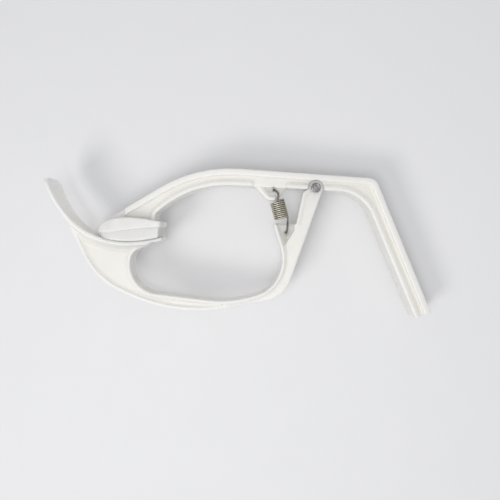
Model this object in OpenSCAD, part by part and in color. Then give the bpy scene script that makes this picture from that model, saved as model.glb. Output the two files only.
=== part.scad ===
// One-handed gripping tongs for pulling on socks, lying on their side.
//
// Two moulded levers cross at one tubular rivet. The upper lever is a beam that ends in a bowl-shaped
// jaw on one side of the rivet and in the handle on the other. The lower lever is a tongue-shaped jaw,
// an open loop for the fingers and a strut that rises to the rivet. An extension spring between the
// levers holds the jaws shut. Squeezing the strut towards the handle opens them.
//
// Frame: the origin is the centre of the rivet. +Z is the rivet's axis, +X runs from the jaws to the
// handle, and +Y points out of the back of the upper lever. Z = 0 is the middle plane of both levers.

/* [Levers] */
// Depth of the moulded flanges along the rivet's axis
flange_depth = 25; // [24:1:30]
// How far the faces between the flanges lie below the flanges
relief = 3; // [2:0.5:4]
// Thickness of the two lugs that carry the spring
lug_thickness = 7; // [6:0.5:7.5]
// Width of the upper lever's outer flange
back_flange = 4.6; // [3:0.1:5]
// Width of the upper lever's inner flange
belly_flange = 3; // [2:0.1:3.5]
// Width of the lower lever's flanges
loop_flange = 2.3; // [2:0.1:3]

/* [Jaws] */
// Greatest width of the jaws along the rivet's axis
jaw_width = 37; // [34:1:40]
// Wall thickness of the tongue
tongue_wall = 2.4; // [2:0.1:3]
// Wall thickness of the bowl
bowl_wall = 2.6; // [2:0.1:3]
// How far the belly of the bowl lies inside its rim
belly_inset = 1.2; // [0.8:0.1:1.6]
// Gap between the closed jaws
jaw_gap = 0.25; // [0.2:0.05:1]
// Width of the tongue where the bowl meets it
throat_width = 31; // [28:1:34]
// Radius of the fillet between the tongue and its web
tongue_fillet = 9; // [7:1:12]

/* [Pivot] */
// Outer radius of the rivet's shank
shank_radius = 2.6; // [2.4:0.1:2.8]
// Radius of the hole through the rivet
rivet_hole_radius = 1.9; // [1.5:0.1:2]
// Radius of the rivet's rolled heads
head_radius = 3.5; // [3.2:0.1:4]
// Radius of the eye at the top of the strut
eye_radius = 5.4; // [5:0.1:5.6]
// Thickness of the upper lever's web between the two ears
pivot_web = 11; // [8:0.5:12]

/* [Spring] */
// Outer diameter of the coils
spring_diameter = 11.5; // [10:0.5:12]
// Diameter of the spring wire
wire = 1.4; // [1.2:0.1:1.6]
// Number of full turns in the body
turns = 9; // [8:1:10]
// Diameter of the holes for the hooks
hook_hole = 3.2; // [3:0.1:4]

/* [Hidden] */
$fn = 64;

arc_step = 6;            // degrees of arc between two points of a rounded outline
core = flange_depth - 2 * relief;
running = 0.05;          // radial clearance of the upper lever on the rivet
slip = 0.02;             // radial clearance of the strut's ears on the rivet
side_play = 0.3;         // clearance between the pivot web and each ear
eye_room = 0.2;          // clearance round the eye

// Back of the upper lever, from the bowl to the end of the handle: x, y, corner radius
back_edge = [[-155, -24, 0], [-87.5, 16, 100], [43.5, 6.5, 8], [84.4, -92.2, 0]];
// Inner edge of the upper lever, from the bowl to the end of the handle
inner_edge = [[-118, -35.6, 0], [-118, -19.2, 4], [-91.5, 3.5, 75], [34, -3.5, 29], [73.2, -96.2, 0]];
back_flange_start = -140; // the outer flange starts here, clear of the bowl's rim
beam_foot = [-155, -34.9]; // where the beam ends in the bowl's floor
// Stretch of the inner flange that is left out over the lug
lug_gap = [-46.5, -21.5];
// Lug on the upper lever that carries the spring's upper hook
upper_lug = [[-50, 4, 0], [-44.8, 1, 6], [-35.5, -8.9, 3], [-28.4, -9.6, 2], [-22.8, -1.4, 1], [-22, 4, 0]];
// Raised rim of that lug
lug_rim = [[-50, 4, 0], [-44.8, 1, 6], [-35.5, -8.9, 3], [-29.8, -9.5, 0]];
upper_hook = [-30.8, -0.9];
lug_rim_depth = 16;
// Room for the strut in the upper lever, beside the eye
strut_room = [[-10.7, -8], [-9.7, -3.3], [-3.1, 1.4], [0, 3], [6.2, 0], [6.2, -8]];

// Outer edge of the lower lever, from the tongue round the loop to the eye
loop_back = [[-184.6, -22, 0], [-176.7, -37, 60], [-163, -66.5, 53], [-103.5, -96, 123],
             [-23, -80.5, 22], [5, -1.8, 0]];
// Inner edge of the lower lever, from the tongue round the loop to the eye
loop_inner = [[-122, -42, 0], [-136.2, -47, 10], [-138, -75.5, 21.5], [-64.5, -84.6, 75],
              [-30, -75.4, 26], [-23.5, -51.6, 30], [-31.7, -26, 1.5], [-14.4, -26.8, 1], [-9.4, -3.4, 2.4],
              [-3, 1, 0]];
// How much of each edge carries a flange, counted in corners
flanged_back = 6;
flanged_inner = 7;
flange_end = -92;        // the outer flange starts to run out here
flange_slope = 5;        // angle at which it runs out
lower_hook = [-21.5, -33.5];
// Area in which the lower lever is as thin as its spring lug
lower_lug = [[-45, -20, 0], [-45, -43, 0], [-23, -43, 5], [-15.6, -31, 5], [-15.6, -20, 0]];
strut_rim = [[-14.4, -26.8, 0], [-9.4, -3.4, 2.4], [-5.6, -0.8, 0]];
strut_rim_width = 2.2;
strut_rim_depth = core + 1;

// Inner face of the tongue, and top of the bowl: Bezier control points
tongue_curve = [[-196.4, 7.7], [-183.4, -33], [-153.8, -47.5], [-108.6, -35.3]];
tongue_end = -112.8;
bowl_top = [[-162.5, -32.2], [-152.5, -17.6], [-129, -21.7], [-112.6, -25]];
bowl_floor = [[-113.1, -28.6], [-125.4, -29.6], [-148.8, -32.2]];
belly_span = [0.57, 0.95]; // stretch of the tongue's curve that the belly follows
belly_top = [[-114.6, -28], [-158.5, -31]];
curve_steps = 28;
tip_radius = 60;         // the tip of the tongue is an arc of this radius
tip_top = 8.2;
throat_top = -24;        // below this height the tongue is as wide as its throat
tip_corner = 7;
bowl_tip_corner = 15;
bowl_heel_corner = 2;

ear_slot = pivot_web + 2 * side_play;
ear_slot_radius = eye_radius + 4.6;
fillet_layers = [0.3, 1, 2, 3.2, 4.6, 6.2];
lug_fillet = 6;          // radius of the fillets between the lugs and their levers
lug_layers = [0.2, 0.7, 1.4, 2.3, 3.4, 4.6];

function unit(v) = v / norm(v);
function flat(p) = [p.x, p.y];
function side(v) = [-v.y, v.x];
function turned(p, a) = [p.x * cos(a) - p.y * sin(a), p.x * sin(a) + p.y * cos(a)];

// Points of a cubic Bezier curve
function bezier(c, from = 0, to = 1) =
    [for (k = [0 : curve_steps])
        let (t = from + (to - from) * k / curve_steps, s = 1 - t)
        s * s * s * c[0] + 3 * s * s * t * c[1] + 3 * s * t * t * c[2] + t * t * t * c[3]];

// Points of the arc that rounds corner b between a and c
function corner_arc(a, b, c, r) =
    let (u = unit(a - b), w = unit(c - b),
         half = acos(u * w) / 2,
         centre = b + unit(u + w) * r / sin(half),
         first = b + u * r / tan(half) - centre,
         last = b + w * r / tan(half) - centre,
         sweep = sign(first.x * last.y - first.y * last.x) * (180 - 2 * half),
         steps = ceil(abs(sweep) / arc_step))
    [for (k = [0 : steps]) centre + turned(first, sweep * k / steps)];

// Points of an open path whose corners are rounded by their third number
function rounded(path) =
    let (last = len(path) - 1)
    [for (i = [0 : last])
        let (p = path[i])
        each (p.z == 0 || i == 0 || i == last ? [flat(p)]
            : corner_arc(flat(path[i - 1]), flat(p), flat(path[i + 1]), p.z))];

// The same for a closed outline
function rounded_loop(path) =
    let (n = len(path))
    [for (i = [0 : n - 1])
        let (p = path[i])
        each (p.z == 0 ? [flat(p)]
            : corner_arc(flat(path[(i + n - 1) % n]), flat(p), flat(path[(i + 1) % n]), p.z))];

// Points moved by d to the left of their direction of travel
function shifted(points, d) =
    let (last = len(points) - 1)
    [for (i = [0 : last])
        let (u = unit(points[min(i + 1, last)] - points[max(i - 1, 0)]))
        points[i] + side(u) * d];

function reversed(list) = [for (i = [len(list) - 1 : -1 : 0]) list[i]];
function part_of(list, n) = [for (i = [0 : n - 1]) list[i]];

module strip(points, near, far) {
    polygon(concat(shifted(points, near), reversed(shifted(points, far))));
}

module plate(depth) {
    linear_extrude(depth, center = true) children();
}

// How far a fillet of this radius still reaches out at this rise
function fillet_reach(radius, rise) = radius - sqrt(pow(radius, 2) - pow(radius - rise, 2));

// A fillet from a plate of this depth up to the second child, inside the first child, in thin layers
module fillet(depth, radius, layers) {
    for (rise = layers)
        plate(depth + 2 * rise) intersection() {
            children(0);
            offset(r = fillet_reach(radius, rise)) children(1);
        }
}

// ---- upper lever ----

module beam_outline() {
    polygon(concat([beam_foot], rounded(back_edge), reversed(rounded(inner_edge))));
}

module bowl_profile() {
    polygon(concat(bezier(bowl_top), bowl_floor));
}

// Outline of the bowl seen from its open side, with x along the lever and y along the rivet's axis
module bowl_plan(inset) {
    front = bowl_top[0].x + inset;
    heel = bowl_floor[0].x - inset;
    half = jaw_width / 2 - inset;
    tip = bowl_tip_corner - inset;
    heel_corner = max(bowl_heel_corner - inset, 0);
    polygon(rounded_loop([
        [front, -half, tip], [heel, -half, heel_corner],
        [heel, half, heel_corner], [front, half, tip]]));
}

module bowl_solid(inset) {
    intersection() {
        translate([0, 10, 0]) rotate([90, 0, 0]) linear_extrude(80) bowl_plan(inset);
        children();
    }
}

// The belly follows the tongue's curve, a small gap above it
module belly_profile() {
    polygon(concat(shifted(bezier(tongue_curve, belly_span[0], belly_span[1]), jaw_gap), belly_top));
}

module bowl() {
    difference() {
        union() {
            bowl_solid(0) plate(jaw_width) bowl_profile();
            bowl_solid(belly_inset) plate(jaw_width) belly_profile();
        }
        bowl_solid(bowl_wall) for (rise = [1, 2])
            plate(jaw_width) translate([0, rise * bowl_wall]) bowl_profile();
        bowl_solid(belly_inset + bowl_wall) plate(jaw_width) translate([0, bowl_wall]) belly_profile();
    }
}

module upper_flanges() {
    plate(flange_depth) intersection() {
        beam_outline();
        strip(rounded(back_edge), 0, -back_flange);
        translate([back_flange_start, -150]) square(300);
    }
    difference() {
        plate(flange_depth) strip(rounded(inner_edge), 0, belly_flange);
        translate([lug_gap[0], -10, -flange_depth]) cube([lug_gap[1] - lug_gap[0], 18, 2 * flange_depth]);
    }
}

module upper_lug() {
    plate(lug_thickness) polygon(rounded(upper_lug));
    // the fillet between the lug and the beam
    for (rise = lug_layers)
        plate(lug_thickness + 2 * rise) intersection() {
            polygon(rounded(upper_lug));
            strip(rounded(inner_edge), -fillet_reach(lug_fillet, rise), 1);
        }
    plate(lug_rim_depth) strip(rounded(lug_rim), 0, belly_flange);
}

// Room for the strut and its eye beside the pivot web
module pivot_pocket() {
    for (s = [0, 1]) mirror([0, 0, s]) translate([0, 0, pivot_web / 2]) {
        cylinder(h = flange_depth, r = eye_radius + eye_room);
        linear_extrude(flange_depth) polygon(strut_room);
    }
}

module upper_lever() {
    color("white") difference() {
        union() {
            bowl();
            plate(core) beam_outline();
            upper_flanges();
            upper_lug();
        }
        pivot_pocket();
        cylinder(h = flange_depth, r = shank_radius + running, center = true);
        translate(upper_hook) cylinder(h = flange_depth, d = hook_hole, center = true);
    }
}

// ---- lower lever ----

module tongue_profile() {
    strip(bezier(tongue_curve), 0, -tongue_wall);
}

module tongue() {
    intersection() {
        plate(jaw_width) tongue_profile();
        // the tongue narrows from its tip to the throat, and the tip is slightly round
        translate([-210, 0, 0]) rotate([90, 0, 90]) linear_extrude(100) intersection() {
            polygon(rounded_loop([
                [-60, -throat_width / 2, 0], [throat_top, -throat_width / 2, 25],
                [-2, -jaw_width / 2, 30], [tip_top, -jaw_width / 2, tip_corner],
                [tip_top, jaw_width / 2, tip_corner], [-2, jaw_width / 2, 30],
                [throat_top, throat_width / 2, 25], [-60, throat_width / 2, 0]]));
            translate([tip_top - tip_radius, 0]) circle(tip_radius, $fn = 180);
        }
        translate([-210, -60, -jaw_width]) cube([210 + tongue_end, 80, 2 * jaw_width]);
    }
}

module loop_outline() {
    polygon(concat(rounded(loop_back), reversed(rounded(loop_inner)),
                   reversed(shifted(bezier(tongue_curve, 0.22, 0.88), -tongue_wall / 2))));
}

module tongue_fillet() {
    fillet(core, tongue_fillet, fillet_layers) {
        loop_outline();
        tongue_profile();
    }
}

module loop_flanges() {
    difference() {
        plate(flange_depth) intersection() {
            loop_outline();
            strip(rounded(part_of(loop_back, flanged_back)), 0, loop_flange);
        }
        for (s = [0, 1]) mirror([0, 0, s])
            translate([flange_end, -120, flange_depth / 2]) rotate([0, flange_slope, 0])
                cube([140, 150, flange_depth]);
    }
    plate(flange_depth) intersection() {
        loop_outline();
        strip(rounded(part_of(loop_inner, flanged_inner)), 0, -loop_flange);
    }
}

// The lower lever without its spring lug
module loop_body() {
    difference() {
        loop_outline();
        polygon(rounded_loop(lower_lug));
    }
}

module lower_core() {
    plate(core) loop_body();
    plate(lug_thickness) loop_outline();
    fillet(lug_thickness, lug_fillet, lug_layers) {
        loop_outline();
        loop_body();
    }
    plate(strut_rim_depth) strip(rounded(strut_rim), 0, -strut_rim_width);
    cylinder(h = core, r = eye_radius, center = true);
}

module lower_lever() {
    color("white") difference() {
        union() {
            tongue();
            lower_core();
            tongue_fillet();
            loop_flanges();
        }
        // slot between the two ears
        cylinder(h = ear_slot, r = ear_slot_radius, center = true);
        cylinder(h = flange_depth, r = shank_radius + slip, center = true);
        translate(lower_hook) cylinder(h = flange_depth, d = hook_hole, center = true);
    }
}

// ---- rivet ----

module pivot_rivet() {
    head = head_radius - shank_radius;
    color("silver") difference() {
        union() {
            cylinder(h = core + head, r = shank_radius, center = true);
            for (s = [-1, 1]) translate([0, 0, s * core / 2])
                rotate_extrude() intersection() {
                    translate([shank_radius, 0]) circle(head);
                    translate([0, s > 0 ? 0 : -head]) square([head_radius, head]);
                }
        }
        cylinder(h = core * 2, r = rivet_hole_radius, center = true);
    }
}

// ---- spring ----

spring_axis = upper_hook - lower_hook;
spring_reach = norm(spring_axis);
coil_radius = (spring_diameter - wire) / 2;
pitch = wire + 0.06;
coil_steps = 20;         // points in one turn
first_angle = 20;        // where the lower hook leaves the coils, round the spring's axis
last_angle = 90;         // where the upper hook leaves them
coil_sweep = 360 * turns + last_angle - first_angle;
coil_length = pitch * coil_sweep / 360;
coil_shift = 1.4;        // how far the coils sit from the middle, towards the upper hook
coil_start = (spring_reach - coil_length) / 2 + coil_shift;
coil_points = round(coil_sweep * coil_steps / 360);
wire_sides = 8;
hook_steps = 4;          // points between two of a hook's own points

// The spring stands on the lower hook hole: y runs along its axis, z along the rivet's axis
function on_coil(a, y) = [coil_radius * cos(a), y, coil_radius * sin(a)];
coil_path = [for (k = [0 : coil_points])
    let (t = k / coil_points)
    on_coil(first_angle + coil_sweep * t, coil_start + coil_length * t)];
// Each hook starts behind the lug, comes through its hole and bends away to the coils: x, distance
// from the hole along the axis, z
lower_route = [[0.6, 5.6, -4.7], [0.2, 3.4, -5.4], [0, 1.2, -4.8], [0, 0, 0], [0.6, 1.2, 4.8], [1.8, 3.6, 5.6],
               [2.9, 6.6, 4.8]];
upper_route = [[0.6, 5.6, -4.7], [0.2, 3.4, -5.4], [0, 1.2, -4.8], [0, 0, 0], [0.8, 1.2, 4.8], [2.1, 3.6, 5.7],
               [1.6, 6.6, 5.7]];
lower_points = concat(lower_route, [coil_path[0]]);
upper_points = concat([coil_path[coil_points]],
                      reversed([for (p = upper_route) [p.x, spring_reach - p.y, p.z]]));
spring_path = concat(smooth(lower_points), part_of(coil_path, coil_points), smooth(upper_points),
                     [upper_points[len(upper_points) - 1]]);

// A Catmull-Rom curve through the points, without its last point
function smooth(p) =
    [for (i = [0 : len(p) - 2], k = [0 : hook_steps - 1])
        let (t = k / hook_steps, a = p[max(i - 1, 0)], b = p[i], c = p[i + 1], d = p[min(i + 2, len(p) - 1)])
        (2 * b + (c - a) * t + (2 * a - 5 * b + 4 * c - d) * t * t + (3 * b - a - 3 * c + d) * t * t * t) / 2];

function tangent(path, i) = unit(path[min(i + 1, len(path) - 1)] - path[max(i - 1, 0)]);
function square_to(v, t) = unit(v - t * (v * t));
// A direction across the wire at each point, carried along without twist
function carried(path) =
    [for (i = 0, v = square_to([1, 0, 0.2], tangent(path, 0));
          i < len(path);
          i = i + 1, v = square_to(v, tangent(path, min(i, len(path) - 1)))) v];

module wire_along(path, d) {
    across = carried(path);
    n = wire_sides;
    points = [for (i = [0 : len(path) - 1])
        let (t = tangent(path, i), v = across[i], w = cross(t, v))
        for (k = [0 : n - 1]) path[i] + d / 2 * (cos(360 * k / n) * v + sin(360 * k / n) * w)];
    last = len(path) - 1;
    sides = [for (i = [0 : last - 1]) for (k = [0 : n - 1])
        [i * n + k, i * n + (k + 1) % n, (i + 1) * n + (k + 1) % n, (i + 1) * n + k]];
    ends = [[for (k = [n - 1 : -1 : 0]) k], [for (k = [0 : n - 1]) last * n + k]];
    polyhedron([for (p = points) p], [for (f = concat(sides, ends)) reversed(f)]);
}

module extension_spring() {
    lean = atan2(spring_axis.y, spring_axis.x) - 90;
    color("gray") translate(lower_hook) rotate([0, 0, lean]) wire_along(spring_path, wire);
}

upper_lever();
lower_lever();
pivot_rivet();
extension_spring();
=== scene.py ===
"""Looks of the sock tongs: levers, rivet and spring on a pale table, under soft light."""

import math

import bpy
from mathutils import Matrix, Vector


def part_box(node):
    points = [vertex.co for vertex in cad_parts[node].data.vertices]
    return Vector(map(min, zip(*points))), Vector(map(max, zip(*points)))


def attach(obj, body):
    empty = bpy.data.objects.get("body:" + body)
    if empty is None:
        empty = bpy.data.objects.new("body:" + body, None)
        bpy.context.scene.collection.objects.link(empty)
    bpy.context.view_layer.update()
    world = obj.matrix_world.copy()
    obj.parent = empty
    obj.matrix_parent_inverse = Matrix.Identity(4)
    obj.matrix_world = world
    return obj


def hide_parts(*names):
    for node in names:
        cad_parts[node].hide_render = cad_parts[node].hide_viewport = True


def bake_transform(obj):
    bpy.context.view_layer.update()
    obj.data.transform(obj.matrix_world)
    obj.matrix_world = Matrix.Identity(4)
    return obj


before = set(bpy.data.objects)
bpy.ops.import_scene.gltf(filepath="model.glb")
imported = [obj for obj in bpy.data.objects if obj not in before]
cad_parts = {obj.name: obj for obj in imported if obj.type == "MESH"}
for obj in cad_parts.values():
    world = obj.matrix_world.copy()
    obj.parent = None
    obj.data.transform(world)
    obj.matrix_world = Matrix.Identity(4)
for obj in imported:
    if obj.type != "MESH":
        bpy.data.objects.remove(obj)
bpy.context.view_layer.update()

MM = 0.001  # metres in a millimetre

# ---- camera ----
SENSOR = 36.0  # width of the camera's sensor, mm
LENS = 47.4  # focal length, mm
NEAREST = 0.01  # nothing closer to the camera shows
CAMERA = Vector((-0.0440, -0.0325, 0.4940))  # place of the camera
AIM = Vector((-0.0484, -0.0458, 0.0083))  # point at the centre of the picture


def add_camera():
    data = bpy.data.cameras.new("camera")
    camera = bpy.data.objects.new("camera", data)
    bpy.context.scene.collection.objects.link(camera)
    look = (AIM - CAMERA).normalized()
    right = Vector((1, 0, 0))
    right = (right - look * right.dot(look)).normalized()
    up = right.cross(look)
    camera.location = CAMERA
    camera.rotation_euler = Matrix((right, up, -look)).transposed().to_euler()
    data.sensor_width = SENSOR
    data.lens = LENS
    data.clip_start = NEAREST
    bpy.context.scene.camera = camera


# ---- lights and table ----
TABLE_SIZE = 6.0
TABLE_TOP = Vector((0.075, 0, -0.02))  # a point of the table, under the end of the handle
TABLE_SLOPE = 0.08  # radians; it falls away towards the jaws, whose shadows lie apart from them
MIDDLE = Vector((-0.06, -0.04, 0.0))  # point that the lights face
ROOM_COLOUR = (0.98, 0.985, 1.0, 1)  # light from all round
ROOM_STRENGTH = 0.49


def area_light(name, place, size, power, colour):
    data = bpy.data.lights.new(name, "AREA")
    data.shape = "RECTANGLE"
    data.size = data.size_y = size
    data.energy = power
    data.color = colour
    light = bpy.data.objects.new(name, data)
    light.location = place
    light.rotation_euler = (MIDDLE - Vector(place)).to_track_quat("-Z", "Y").to_euler()
    bpy.context.scene.collection.objects.link(light)


def add_lights():
    bpy.context.scene.view_settings.view_transform = "Standard"
    area_light("key", place=(-0.65, -0.63, 1.0), size=0.42, power=4.4, colour=(1.0, 0.985, 0.96))
    area_light("fill", place=(-0.14, -0.14, 0.95), size=0.35, power=3.1, colour=(0.97, 0.98, 1.0))
    world = bpy.data.worlds.new("studio")
    world.use_nodes = True
    background = world.node_tree.nodes["Background"]
    background.inputs["Color"].default_value = ROOM_COLOUR
    background.inputs["Strength"].default_value = ROOM_STRENGTH
    bpy.context.scene.world = world


def add_table():
    bpy.ops.mesh.primitive_plane_add(size=TABLE_SIZE, location=TABLE_TOP,
                                     rotation=(0, -TABLE_SLOPE, 0))
    table = bpy.context.object
    table.name = "table"
    table.data.materials.append(table_material())


# ---- materials ----
FIRST_COLOUR, SECOND_COLOUR, MIXED_COLOUR = 6, 7, 2  # sockets of a Mix node set to colours


class Nodes:
    """A material's node tree, with short ways to add and link nodes."""

    def __init__(self, name, **values):
        self.material = bpy.data.materials.new(name)
        self.material.use_nodes = True
        self.tree = self.material.node_tree
        self.shader = self.tree.nodes["Principled BSDF"]
        for socket, value in values.items():
            self.shader.inputs[socket.replace("_", " ")].default_value = value

    def add(self, kind, *links, **settings):
        node = self.tree.nodes.new("ShaderNode" + kind)
        for key, value in settings.items():
            if hasattr(node, key):
                setattr(node, key, value)
            else:
                node.inputs[key.replace("_", " ")].default_value = value
        for output, socket in links:
            self.link(output, node.inputs[socket])
        return node

    def link(self, output, socket):
        self.tree.links.new(output, socket)

    def place(self):
        return self.add("TexCoord").outputs["Object"]

    def noise(self, place, scale, detail=3.0):
        return self.add("TexNoise", (place, "Vector"), Scale=scale, Detail=detail).outputs["Fac"]

    def remap(self, value, low, high, new_low=0.0, new_high=1.0):
        node = self.add("MapRange", (value, "Value"), From_Min=low, From_Max=high)
        node.inputs["To Min"].default_value = new_low
        node.inputs["To Max"].default_value = new_high
        return node.outputs["Result"]

    def math(self, operation, first, second=0.0):
        node = self.add("Math", operation=operation)
        for index, value in enumerate((first, second)):
            if isinstance(value, (int, float)):
                node.inputs[index].default_value = value
            else:
                self.link(value, node.inputs[index])
        return node.outputs[0]

    def measure(self, operation, vector, fixed):
        """A number from a vector of the tree and a fixed one."""
        node = self.add("VectorMath", (vector, 0), operation=operation)
        node.inputs[1].default_value = fixed
        return node.outputs["Value"]

    def blend(self, factor, first, second):
        node = self.add("Mix", data_type="RGBA")
        self.link(factor, node.inputs["Factor"])
        for index, value in ((FIRST_COLOUR, first), (SECOND_COLOUR, second)):
            if isinstance(value, tuple):
                node.inputs[index].default_value = (*value, 1)
            else:
                self.link(value, node.inputs[index])
        return node.outputs[MIXED_COLOUR]

    def mix(self, factor, first, second):
        self.link(self.blend(factor, first, second), self.shader.inputs["Base Color"])

    def gloss(self, value, low, high, roughness):
        """Roughness between two numbers, as the value goes from low to high."""
        self.link(self.remap(value, low, high, *roughness), self.shader.inputs["Roughness"])

    def bump(self, height, distance):
        node = self.add("Bump", (height, "Height"), Distance=distance, Strength=1.0)
        self.link(node.outputs["Normal"], self.shader.inputs["Normal"])


NOISE_LOW, NOISE_HIGH = 0.3, 0.7  # the range that a noise mostly stays in
TABLE_PATCHES = 30.0  # soft patches a metre
TABLE_COLOURS = (0.80, 0.80, 0.81), (0.82, 0.82, 0.83)


def table_material():
    nodes = Nodes("table", Roughness=0.7, Specular_IOR_Level=0.3)
    nodes.mix(nodes.noise(nodes.place(), TABLE_PATCHES), *TABLE_COLOURS)
    return nodes.material


GRAIN = 1400.0  # features a metre of the mould's fine grain
RIPPLE = 160.0  # of the slow waviness of a moulded face
CLOUD = 45.0  # of the faint patches in the plastic's colour
PLASTIC_COLOURS = (0.805, 0.790, 0.747), (0.825, 0.811, 0.772)
PAINTED_LIGHT_EDGE_COLOUR = (1.0, 0.982, 0.93)  # painted light on the bent parts of the surface, edges and grooves alike
FLAT = 0.5  # Pointiness of a flat surface
PAINTED_LIGHT_BEND = 0.01, 0.06  # how far Pointiness is from flat where the painted light begins and is full
PLASTIC_GLOSS = 0.3, 0.42  # smallest and largest roughness
LIGHT_DEPTH = 10 * MM  # how far light goes into the plastic
LIGHT_SHARES = (1.0, 0.98, 0.94)  # of that depth for red, green and blue
SKIN_RELIEF = 0.03 * MM  # height of the parting line
GRAIN_SHARE, RIPPLE_SHARE = 0.25, 1.5  # heights of the grain and the ripple beside that line's
PARTING = 0.12 * MM  # half width of the mould's parting line, in the levers' middle plane


def plastic_material():
    """Warm white moulded plastic: light goes a little way in, edges and grooves carry painted
    light, and the skin has a fine grain.
    """
    nodes = Nodes("white_plastic", IOR=1.49, Subsurface_Weight=1.0, Subsurface_Scale=LIGHT_DEPTH)
    nodes.shader.inputs["Subsurface Radius"].default_value = LIGHT_SHARES
    place = nodes.place()
    cloud = nodes.noise(place, CLOUD, detail=4.0)
    body = nodes.blend(nodes.remap(cloud, NOISE_LOW, NOISE_HIGH), *PLASTIC_COLOURS)
    # painted light: edges, grooves and fillets, bent either way, are made whiter to lift their
    # shade
    bend = nodes.math("SUBTRACT", nodes.add("NewGeometry").outputs["Pointiness"], FLAT)
    nodes.mix(nodes.remap(nodes.math("ABSOLUTE", bend), *PAINTED_LIGHT_BEND), body, PAINTED_LIGHT_EDGE_COLOUR)
    ripple = nodes.noise(place, RIPPLE)
    grain = nodes.noise(place, GRAIN, detail=2.0)
    nodes.gloss(nodes.math("ADD", ripple, cloud), 2 * NOISE_LOW, 2 * NOISE_HIGH, PLASTIC_GLOSS)
    # a faint raised line where the two halves of the mould met
    height = nodes.add("SeparateXYZ", (place, "Vector")).outputs["Z"]
    line = nodes.remap(nodes.math("ABSOLUTE", height), 0.0, PARTING, 1.0, 0.0)
    relief = nodes.math("ADD", nodes.math("MULTIPLY", grain, GRAIN_SHARE),
                        nodes.math("MULTIPLY", ripple, RIPPLE_SHARE))
    nodes.bump(nodes.math("ADD", relief, line), SKIN_RELIEF)
    return nodes.material


STEEL_COLOURS = (0.56, 0.52, 0.43), (0.74, 0.70, 0.60)
GAP_SHADE_COLOUR = (0.045, 0.036, 0.022)  # painted shade in the gaps between the coils
HOOK_COLOUR = (0.16, 0.155, 0.14)
FILM = 900.0  # features a metre of the film of oil
DIE_LINES = 6000.0  # of the marks left by drawing the wire
DIE_DEPTH = 0.01 * MM
FILM_RANGE = 0.35, 0.65  # of the noise, from the darker steel to the lighter
STEEL_GLOSS = 0.2, 0.36  # smallest and largest roughness
GAP_TURN = 0.3, 0.85  # how far the surface faces along the spring where the painted gap shade begins and is full
COILS_END, HOOKS_START = 9 * MM, 11 * MM  # distances from the middle between the hook holes


def spring_material():
    """Drawn spring wire: creamy bright steel, with painted shade in the gaps between the coils,
    and darker on the hooks.
    """
    nodes = Nodes("spring_wire", Metallic=0.5)
    place = nodes.place()
    film = nodes.noise(place, FILM, detail=4.0)
    steel = nodes.blend(nodes.remap(film, *FILM_RANGE), *STEEL_COLOURS)
    normal = nodes.add("NewGeometry").outputs["Normal"]
    along = nodes.measure("DOT_PRODUCT", normal, (UPPER_HOOK - LOWER_HOOK).normalized())
    # painted shade in the gaps between the coils, where the wire's surface faces along the spring
    gap_shaded = nodes.blend(nodes.remap(nodes.math("ABSOLUTE", along), *GAP_TURN), steel, GAP_SHADE_COLOUR)
    away = nodes.measure("DISTANCE", place, (UPPER_HOOK + LOWER_HOOK) / 2)
    nodes.mix(nodes.remap(away, COILS_END, HOOKS_START), gap_shaded, HOOK_COLOUR)
    nodes.gloss(film, NOISE_LOW, NOISE_HIGH, STEEL_GLOSS)
    nodes.bump(nodes.noise(place, DIE_LINES), DIE_DEPTH)
    return nodes.material


PAINTED_HOLE_LIGHT_AND_HEAD_REFLECTION = (0.86, 0.86, 0.85), (0.24, 0.24, 0.235)  # painted light in the hole, and a painted dark reflection on the head
PLATE_GLOSS = 0.22, 0.4  # smallest and largest roughness
PAINTED_REFLECTION_WIDTH = 0.8 * MM  # from the hole to the full painted dark reflection
REFLECTION_MOTTLE = 500.0  # patches a metre in the painted reflection
SPOT_STRENGTH = 0.12  # how far a patch changes the painted reflection
SCUFFS = 1500.0  # a metre
TURNED_RINGS = 900.0  # scale of the tool's marks
RING_DEPTH = 0.006 * MM


def rivet_material():
    """Nickel-plated steel, with the turned marks of the tool that rolled the head, painted light
    in the hole and a painted dark reflection on the head.
    """
    nodes = Nodes("nickel_plate", Metallic=1.0)
    place = nodes.place()
    axes = nodes.add("SeparateXYZ", (place, "Vector")).outputs
    squares = nodes.math("ADD", nodes.math("POWER", axes["X"], 2.0),
                         nodes.math("POWER", axes["Y"], 2.0))
    # painted light in the hole, turning to a painted dark reflection over the head
    painted_reflection = nodes.remap(nodes.math("SQRT", squares), HOLE, HOLE + PAINTED_REFLECTION_WIDTH)
    spots = nodes.remap(nodes.noise(place, REFLECTION_MOTTLE), NOISE_LOW, NOISE_HIGH,
                        -SPOT_STRENGTH, SPOT_STRENGTH)
    nodes.mix(nodes.math("ADD", painted_reflection, spots), *PAINTED_HOLE_LIGHT_AND_HEAD_REFLECTION)
    nodes.gloss(nodes.noise(place, SCUFFS), NOISE_LOW, NOISE_HIGH, PLATE_GLOSS)
    rings = nodes.add("TexWave", (place, "Vector"), wave_type="RINGS", rings_direction="Z",
                      Scale=TURNED_RINGS, Distortion=1.0)
    nodes.bump(rings.outputs["Fac"], RING_DEPTH)
    return nodes.material


# ---- levers ----
VOXEL = 0.5 * MM
SOFTEN = 9  # passes that round the moulded edges
SOFTEN_SHARE = 0.5  # of the way to its neighbours' middle that a point moves in one pass


def finish_lever(name, material):
    """Rounds every edge of a moulding a little, as a mould does."""
    lever = bpy.data.objects[name]
    remesh = lever.modifiers.new("skin", "REMESH")
    remesh.mode = "VOXEL"
    remesh.voxel_size = VOXEL
    remesh.use_smooth_shade = True
    soften = lever.modifiers.new("soft_edges", "SMOOTH")
    soften.factor = SOFTEN_SHARE
    soften.iterations = SOFTEN
    for slot in lever.material_slots:
        slot.material = material


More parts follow.
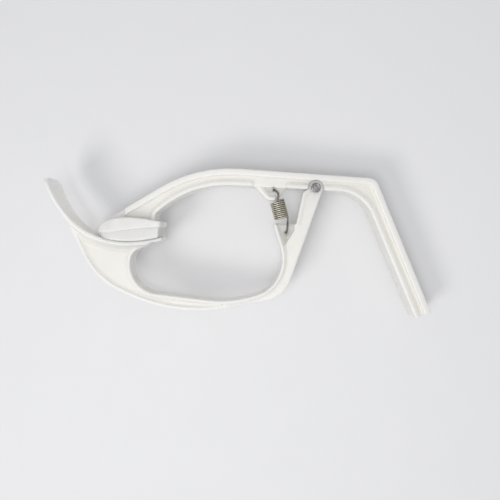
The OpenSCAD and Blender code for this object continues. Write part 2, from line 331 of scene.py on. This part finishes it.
# ---- mesh tools ----
def new_piece(name, points, faces, material):
    mesh = bpy.data.meshes.new(name)
    mesh.from_pydata([tuple(p) for p in points], [], faces)
    mesh.materials.append(material)
    for face in mesh.polygons:
        face.use_smooth = True
    mesh.update()
    piece = bpy.data.objects.new(name, mesh)
    bpy.context.scene.collection.objects.link(piece)
    return piece


def tube(path, radii, sides):
    """Points and faces of a round wire along the path, closed at both ends."""
    last = len(path) - 1
    tangents = [(path[min(i + 1, last)] - path[max(i - 1, 0)]).normalized()
                for i in range(last + 1)]
    across = Vector((1, 0, 0.2))  # any direction that the path doesn't start along
    points = []
    for centre, tangent, radius in zip(path, tangents, radii):
        across = (across - tangent * across.dot(tangent)).normalized()
        other = tangent.cross(across)
        for k in range(sides):
            angle = 2 * math.pi * k / sides
            points.append(centre + radius * (math.cos(angle) * across + math.sin(angle) * other))
    faces = []
    for i in range(last):
        here, there = i * sides, (i + 1) * sides
        for k in range(sides):
            beside = (k + 1) % sides
            faces.append((here + k, here + beside, there + beside, there + k))
    faces.append(tuple(reversed(range(sides))))
    faces.append(tuple(last * sides + k for k in range(sides)))
    return points, faces


def catmull_rom(points, steps):
    """A smooth curve through the points."""
    curve = []
    for i in range(len(points) - 1):
        a, b = points[max(i - 1, 0)], points[i]
        c, d = points[i + 1], points[min(i + 2, len(points) - 1)]
        for k in range(steps):
            t = k / steps
            curve.append((2 * b + (c - a) * t + (2 * a - 5 * b + 4 * c - d) * t * t
                          + (3 * b - a - 3 * c + d) * t ** 3) / 2)
    return curve + [points[-1]]


# ---- rivet ----
SHANK = 2.58 * MM  # outer radius of the shank
HOLE = 1.9 * MM  # radius of the hole
HEAD = 3.5 * MM  # radius of the rolled heads
ROLL = 0.9 * MM  # height of the heads
ROLL_STEPS = 12
RING = 1.2 * MM  # below the head, a ring of points that keeps the hole's shading even
LIP = 0.1 * MM  # by which the head's edge draws in where it meets the lever
SINK = 0.02 * MM  # by which the head sinks into the lever
LATHE_STEPS = 96


def rivet_profile(top, ledge):
    """Half a section of the rivet: up the hole, over the rolled head and down the shank."""
    roll = top - ledge
    middle = (HOLE + HEAD) / 2
    half = (HEAD - HOLE) / 2
    section = [(HOLE, 0.0), (HOLE, ledge - RING)]
    for k in range(ROLL_STEPS + 1):
        angle = math.pi * (1 - k / ROLL_STEPS)
        section.append((middle + half * math.cos(angle), ledge + roll * math.sin(angle)))
    section += [(HEAD - LIP, ledge - SINK), (SHANK, ledge - SINK), (SHANK, 0.0)]
    return section


def add_rivet():
    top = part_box("pivot_rivet")[1][2]
    half = rivet_profile(top, top - ROLL)
    section = half + [(r, -z) for r, z in reversed(half)][1:-1]
    count = len(section)
    points = []
    for k in range(LATHE_STEPS):
        angle = 2 * math.pi * k / LATHE_STEPS
        points += [(r * math.cos(angle), r * math.sin(angle), z) for r, z in section]
    faces = []
    for k in range(LATHE_STEPS):
        here, there = k * count, (k + 1) % LATHE_STEPS * count
        for i in range(count):
            beside = (i + 1) % count
            faces.append((here + i, there + i, there + beside, here + beside))
    rivet = new_piece("hollow_rivet", points, faces, rivet_material())
    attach(rivet, "lower")
    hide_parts("pivot_rivet")


# ---- spring ----
UPPER_HOOK = Vector((-30.8, -0.9, 0)) * MM
LOWER_HOOK = Vector((-21.5, -33.5, 0)) * MM
WIRE = 1.4 * MM
COILED_WIRE = 1.3 * MM  # a little thinner in the coils, so that the gaps between them show
COIL_RADIUS = 5.05 * MM  # to the middle of the wire
PITCH = 1.46 * MM
TURNS = 9
COIL_SHIFT = 1.4 * MM  # from the middle towards the upper hook
FIRST_ANGLE = math.radians(20)  # where the lower hook leaves the coils, round the spring's axis
LAST_ANGLE = math.radians(90)  # where the upper hook leaves them
COIL_STEPS = 48
HOOK_STEPS = 10
WIRE_SIDES = 14
WIRE_END = 0.36 * WIRE  # radius of the wire's two ends
# Each hook comes from behind its lug, through the hole and away to the coils. Its points are given
# in millimetres across the spring, along it from the hole, and out of the levers' middle plane.
BEHIND_LUG = [(0.6, 5.6, -4.7), (0.2, 3.4, -5.4), (0, 1.2, -4.8), (0, 0, 0)]
LOWER_ROUTE = BEHIND_LUG + [(0.6, 1.2, 4.8), (1.8, 3.6, 5.6), (2.9, 6.6, 4.8)]
UPPER_ROUTE = BEHIND_LUG + [(0.8, 1.2, 4.8), (2.1, 3.6, 5.7), (1.6, 6.6, 5.7)]


def spring_path():
    axis = UPPER_HOOK - LOWER_HOOK
    reach = axis.length
    sweep = 2 * math.pi * TURNS + LAST_ANGLE - FIRST_ANGLE
    length = PITCH * sweep / (2 * math.pi)
    start = (reach - length) / 2 + COIL_SHIFT
    count = round(sweep * COIL_STEPS / (2 * math.pi))
    coil = []
    for k in range(count + 1):
        angle = FIRST_ANGLE + sweep * k / count
        coil.append(Vector((COIL_RADIUS * math.cos(angle), start + length * k / count,
                            COIL_RADIUS * math.sin(angle))))
    lower = [Vector(p) * MM for p in LOWER_ROUTE] + [coil[0]]
    upper = [coil[-1]] + [Vector((x * MM, reach - y * MM, z * MM))
                          for x, y, z in reversed(UPPER_ROUTE)]
    local = catmull_rom(lower, HOOK_STEPS)[:-1] + coil[:-1] + catmull_rom(upper, HOOK_STEPS)
    turn = Matrix.Rotation(math.atan2(axis.y, axis.x) - math.pi / 2, 3, "Z")
    return [LOWER_HOOK + turn @ p for p in local]


def add_spring():
    path = spring_path()
    radii = [WIRE / 2] * len(path)
    hook = len(LOWER_ROUTE) * HOOK_STEPS
    radii[hook:-hook] = [COILED_WIRE / 2] * (len(path) - 2 * hook)
    radii[0] = radii[-1] = WIRE_END
    points, faces = tube(path, radii, WIRE_SIDES)
    spring = new_piece("spring_wire", points, faces, spring_material())
    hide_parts("extension_spring")
    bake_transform(spring)


add_camera()
add_lights()
add_table()
plastic = plastic_material()
finish_lever("upper_lever", plastic)
finish_lever("lower_lever", plastic)
add_rivet()
add_spring()
